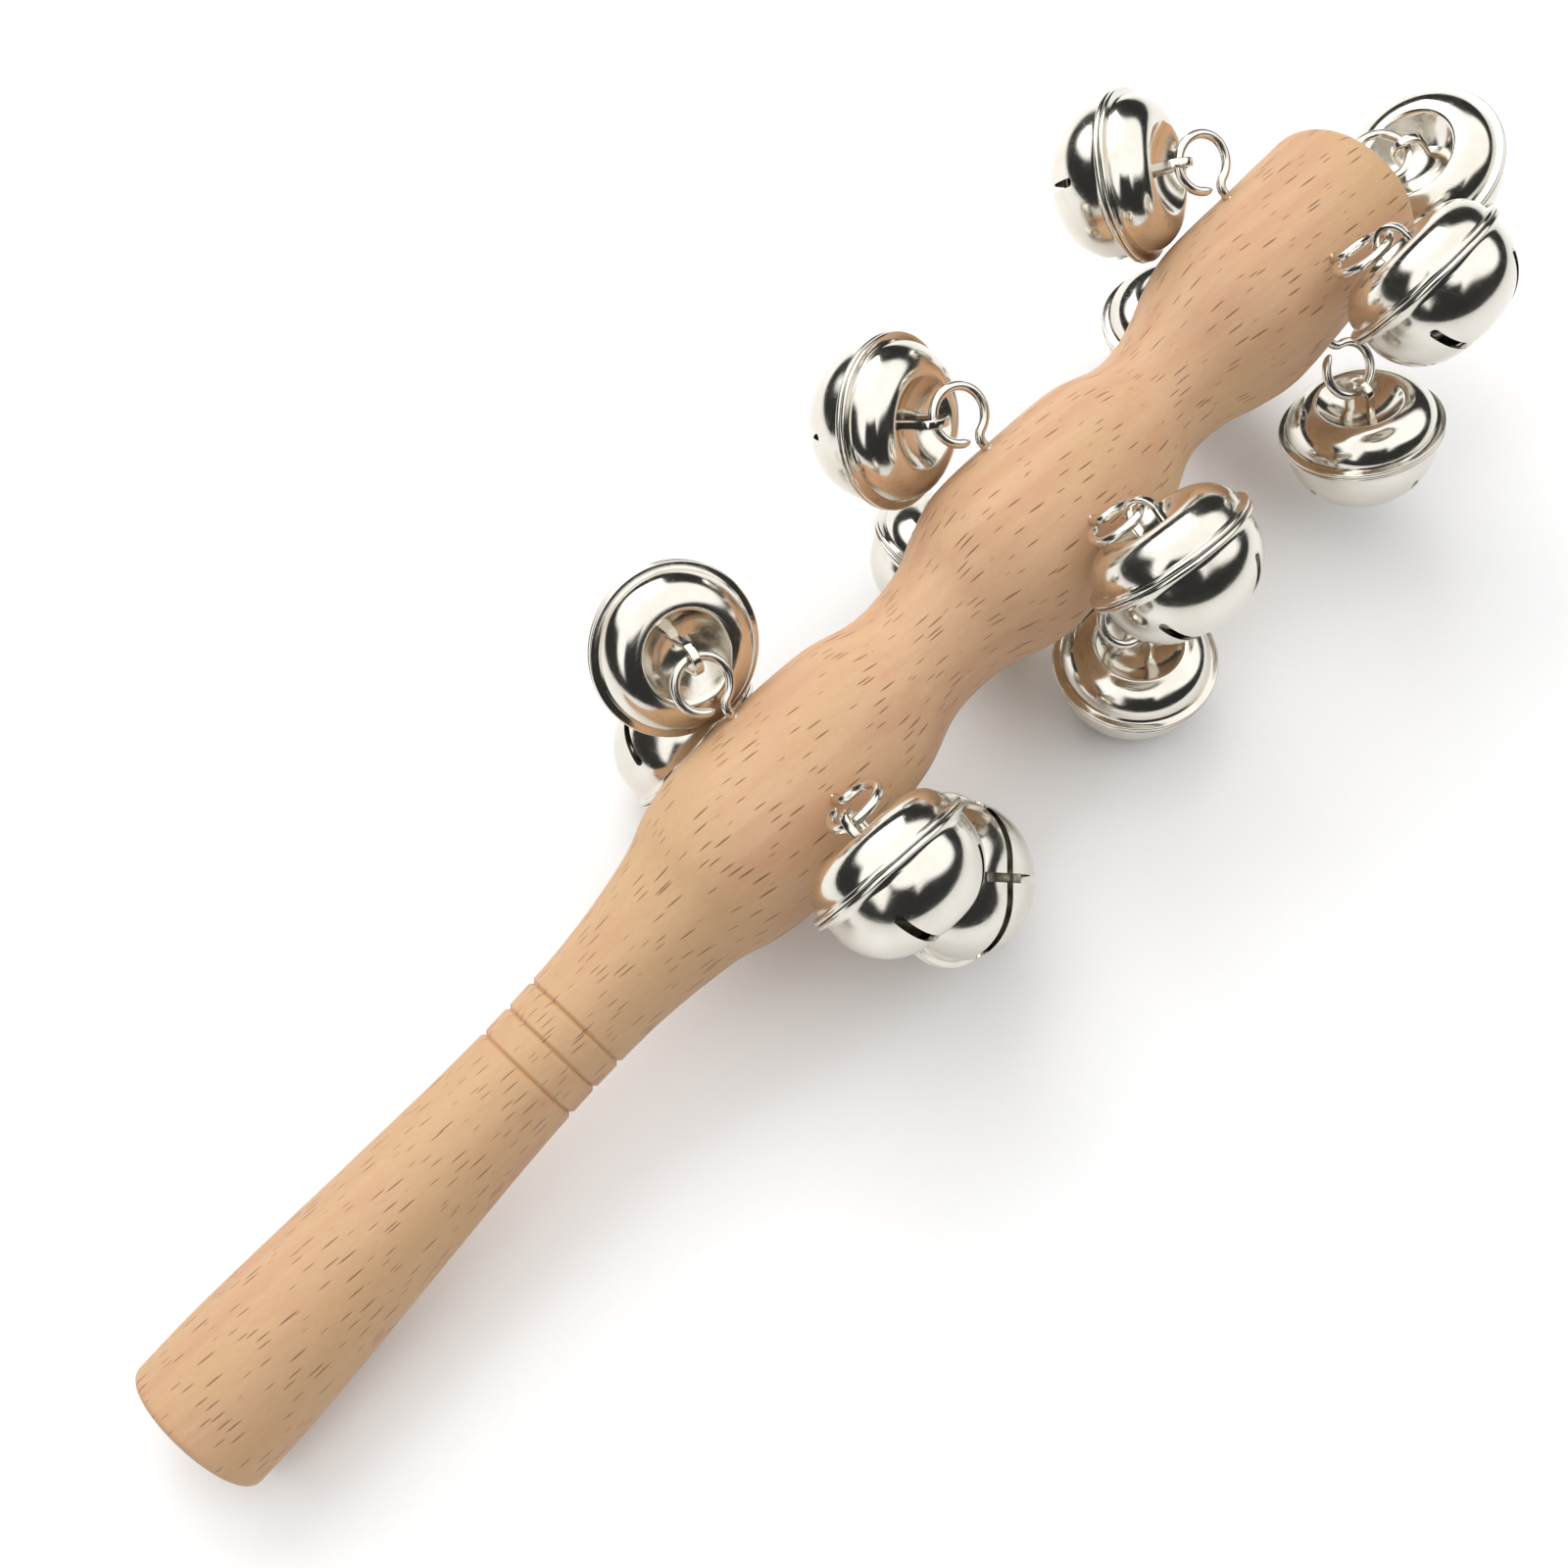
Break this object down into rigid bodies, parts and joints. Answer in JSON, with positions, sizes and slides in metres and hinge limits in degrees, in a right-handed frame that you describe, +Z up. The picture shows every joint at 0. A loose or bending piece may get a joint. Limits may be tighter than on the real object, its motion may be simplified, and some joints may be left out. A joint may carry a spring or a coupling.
{
  "type": "sleigh bells",
  "caption": "Hand-held percussion stick: a turned wooden handle with jingle bells hanging from screw eyes in rings around its swellings and one more on the end.",
  "frame": {"origin": "on the table, under the middle of the lying object's bounding box", "axes": "+X runs along the stick towards its head and the end bell, +Y is to the stick's left, +Z is up"},
  "size_m": [0.2612, 0.069, 0.0666],
  "materials": {
    "wood": "turned and sanded pale beech, unvarnished, satin",
    "eye_wire": "bright nickel-plated wire",
    "bell_nickel": "bright nickel plating on pressed steel",
    "pellet_steel": "plain steel ball"
  },
  "bodies": {
    "stick_and_eyes": {"stick": "wood", "near_upper_left_eye": "eye_wire", "near_upper_right_eye": "eye_wire", "near_lower_right_eye": "eye_wire", "near_lower_left_eye": "eye_wire", "middle_upper_left_eye": "eye_wire", "middle_upper_right_eye": "eye_wire", "middle_lower_right_eye": "eye_wire", "middle_lower_left_eye": "eye_wire", "far_upper_left_eye": "eye_wire", "far_upper_right_eye": "eye_wire", "far_lower_right_eye": "eye_wire", "far_lower_left_eye": "eye_wire", "tip_eye": "eye_wire"},
    "bell_near_upper_left": {"near_upper_left_cap": "bell_nickel", "near_upper_left_cup": "bell_nickel"},
    "bell_near_upper_right": {"near_upper_right_cap": "bell_nickel", "near_upper_right_cup": "bell_nickel"},
    "bell_near_lower_right": {"near_lower_right_cap": "bell_nickel", "near_lower_right_cup": "bell_nickel"},
    "bell_near_lower_left": {"near_lower_left_cap": "bell_nickel", "near_lower_left_cup": "bell_nickel"},
    "bell_middle_upper_left": {"middle_upper_left_cap": "bell_nickel", "middle_upper_left_cup": "bell_nickel"},
    "bell_middle_upper_right": {"middle_upper_right_cap": "bell_nickel", "middle_upper_right_cup": "bell_nickel"},
    "bell_middle_lower_right": {"middle_lower_right_cap": "bell_nickel", "middle_lower_right_cup": "bell_nickel"},
    "bell_middle_lower_left": {"middle_lower_left_cap": "bell_nickel", "middle_lower_left_cup": "bell_nickel"},
    "bell_far_upper_left": {"far_upper_left_cap": "bell_nickel", "far_upper_left_cup": "bell_nickel"},
    "bell_far_upper_right": {"far_upper_right_cap": "bell_nickel", "far_upper_right_cup": "bell_nickel"},
    "bell_far_lower_right": {"far_lower_right_cap": "bell_nickel", "far_lower_right_cup": "bell_nickel"},
    "bell_far_lower_left": {"far_lower_left_cap": "bell_nickel", "far_lower_left_cup": "bell_nickel"},
    "bell_tip": {"tip_cap": "bell_nickel", "tip_cup": "bell_nickel"},
    "pellet_near_upper_left": {"near_upper_left_pellet": "pellet_steel"},
    "pellet_near_upper_right": {"near_upper_right_pellet": "pellet_steel"},
    "pellet_near_lower_right": {"near_lower_right_pellet": "pellet_steel"},
    "pellet_near_lower_left": {"near_lower_left_pellet": "pellet_steel"},
    "pellet_middle_upper_left": {"middle_upper_left_pellet": "pellet_steel"},
    "pellet_middle_upper_right": {"middle_upper_right_pellet": "pellet_steel"},
    "pellet_middle_lower_right": {"middle_lower_right_pellet": "pellet_steel"},
    "pellet_middle_lower_left": {"middle_lower_left_pellet": "pellet_steel"},
    "pellet_far_upper_left": {"far_upper_left_pellet": "pellet_steel"},
    "pellet_far_upper_right": {"far_upper_right_pellet": "pellet_steel"},
    "pellet_far_lower_right": {"far_lower_right_pellet": "pellet_steel"},
    "pellet_far_lower_left": {"far_lower_left_pellet": "pellet_steel"},
    "pellet_tip": {"tip_pellet": "pellet_steel"}
  },
  "joints": [
    {"name": "swing_near_upper_left", "type": "hinge", "parent": "stick_and_eyes", "child": "bell_near_upper_left", "pos_m": [-0.01601, 0.01817, 0.0407], "axis": [0.9643, -0.253, -0.0782], "range_deg": [0, 160]},
    {"name": "swing_near_upper_right", "type": "hinge", "parent": "stick_and_eyes", "child": "bell_near_upper_right", "pos_m": [-0.01978, -0.0146, 0.0434], "axis": [0.7862, -0.3335, 0.5202], "range_deg": [-150, 16]},
    {"name": "swing_near_lower_right", "type": "hinge", "parent": "stick_and_eyes", "child": "bell_near_lower_right", "pos_m": [-0.01118, -0.01793, 0.01186], "axis": [0.7643, 0.4458, 0.466], "range_deg": [-2, 130]},
    {"name": "swing_near_lower_left", "type": "hinge", "parent": "stick_and_eyes", "child": "bell_near_lower_left", "pos_m": [-0.01552, 0.01425, 0.00802], "axis": [0.8253, 0.4045, -0.394], "range_deg": [-150, 1]},
    {"name": "swing_middle_upper_left", "type": "hinge", "parent": "stick_and_eyes", "child": "bell_middle_upper_left", "pos_m": [0.03095, 0.01673, 0.04578], "axis": [0.392, 0.6862, 0.6128], "range_deg": [-12, 136]},
    {"name": "swing_middle_upper_right", "type": "hinge", "parent": "stick_and_eyes", "child": "bell_middle_upper_right", "pos_m": [0.03585, -0.01464, 0.05086], "axis": [0.9025, 0.3241, -0.2835], "range_deg": [-170, 2]},
    {"name": "swing_middle_lower_right", "type": "hinge", "parent": "stick_and_eyes", "child": "bell_middle_lower_right", "pos_m": [0.03818, -0.01851, 0.01796], "axis": [0.9912, 0, 0.1321], "range_deg": [-130, 34]},
    {"name": "swing_middle_lower_left", "type": "hinge", "parent": "stick_and_eyes", "child": "bell_middle_lower_left", "pos_m": [0.03535, 0.01386, 0.01528], "axis": [0.6785, 0.5026, -0.5357], "range_deg": [-12, 64]},
    {"name": "swing_far_upper_left", "type": "hinge", "parent": "stick_and_eyes", "child": "bell_far_upper_left", "pos_m": [0.08281, 0.01685, 0.05279], "axis": [0.5302, 0.6207, 0.5777], "range_deg": [-3, 108]},
    {"name": "swing_far_upper_right", "type": "hinge", "parent": "stick_and_eyes", "child": "bell_far_upper_right", "pos_m": [0.08779, -0.01427, 0.05732], "axis": [0.8534, 0.3787, -0.3581], "range_deg": [-160, 12]},
    {"name": "swing_far_lower_right", "type": "hinge", "parent": "stick_and_eyes", "child": "bell_far_lower_right", "pos_m": [0.08894, -0.01817, 0.025], "axis": [0.9889, -0.1483, 0.0106], "range_deg": [-110, 55]},
    {"name": "swing_far_lower_left", "type": "hinge", "parent": "stick_and_eyes", "child": "bell_far_lower_left", "pos_m": [0.08885, 0.01449, 0.02163], "axis": [0.9707, 0.2049, -0.1259], "range_deg": [-36, 128]},
    {"name": "swing_tip", "type": "hinge", "parent": "stick_and_eyes", "child": "bell_tip", "pos_m": [0.1151, -0.00193, 0.04327], "axis": [-0.4654, -0.8829, -0.062], "range_deg": [-6, 124]},
    {"name": "rattle_near_upper_left", "type": "slide", "parent": "bell_near_upper_left", "child": "pellet_near_upper_left", "axis": [0, 0, 1], "range_m": [0, 0.0126]},
    {"name": "rattle_near_upper_right", "type": "slide", "parent": "bell_near_upper_right", "child": "pellet_near_upper_right", "axis": [0, 0, 1], "range_m": [0, 0.0132]},
    {"name": "rattle_near_lower_right", "type": "slide", "parent": "bell_near_lower_right", "child": "pellet_near_lower_right", "axis": [0, 0, 1], "range_m": [0, 0.0078]},
    {"name": "rattle_near_lower_left", "type": "slide", "parent": "bell_near_lower_left", "child": "pellet_near_lower_left", "axis": [0, 0, 1], "range_m": [0, 0.0092]},
    {"name": "rattle_middle_upper_left", "type": "slide", "parent": "bell_middle_upper_left", "child": "pellet_middle_upper_left", "axis": [0, 0, 1], "range_m": [0, 0.013]},
    {"name": "rattle_middle_upper_right", "type": "slide", "parent": "bell_middle_upper_right", "child": "pellet_middle_upper_right", "axis": [0, 0, 1], "range_m": [0, 0.013]},
    {"name": "rattle_middle_lower_right", "type": "slide", "parent": "bell_middle_lower_right", "child": "pellet_middle_lower_right", "axis": [0, 0, 1], "range_m": [0, 0.006]},
    {"name": "rattle_middle_lower_left", "type": "slide", "parent": "bell_middle_lower_left", "child": "pellet_middle_lower_left", "axis": [0, 0, 1], "range_m": [0, 0.0094]},
    {"name": "rattle_far_upper_left", "type": "slide", "parent": "bell_far_upper_left", "child": "pellet_far_upper_left", "axis": [0, 0, 1], "range_m": [0, 0.0132]},
    {"name": "rattle_far_upper_right", "type": "slide", "parent": "bell_far_upper_right", "child": "pellet_far_upper_right", "axis": [0, 0, 1], "range_m": [0, 0.0132]},
    {"name": "rattle_far_lower_right", "type": "slide", "parent": "bell_far_lower_right", "child": "pellet_far_lower_right", "axis": [0, 0, 1], "range_m": [0, 0.0071]},
    {"name": "rattle_far_lower_left", "type": "slide", "parent": "bell_far_lower_left", "child": "pellet_far_lower_left", "axis": [0, 0, 1], "range_m": [0, 0.0063]},
    {"name": "rattle_tip", "type": "slide", "parent": "bell_tip", "child": "pellet_tip", "axis": [0, 0, 1], "range_m": [0, 0.0083]}
  ]
}
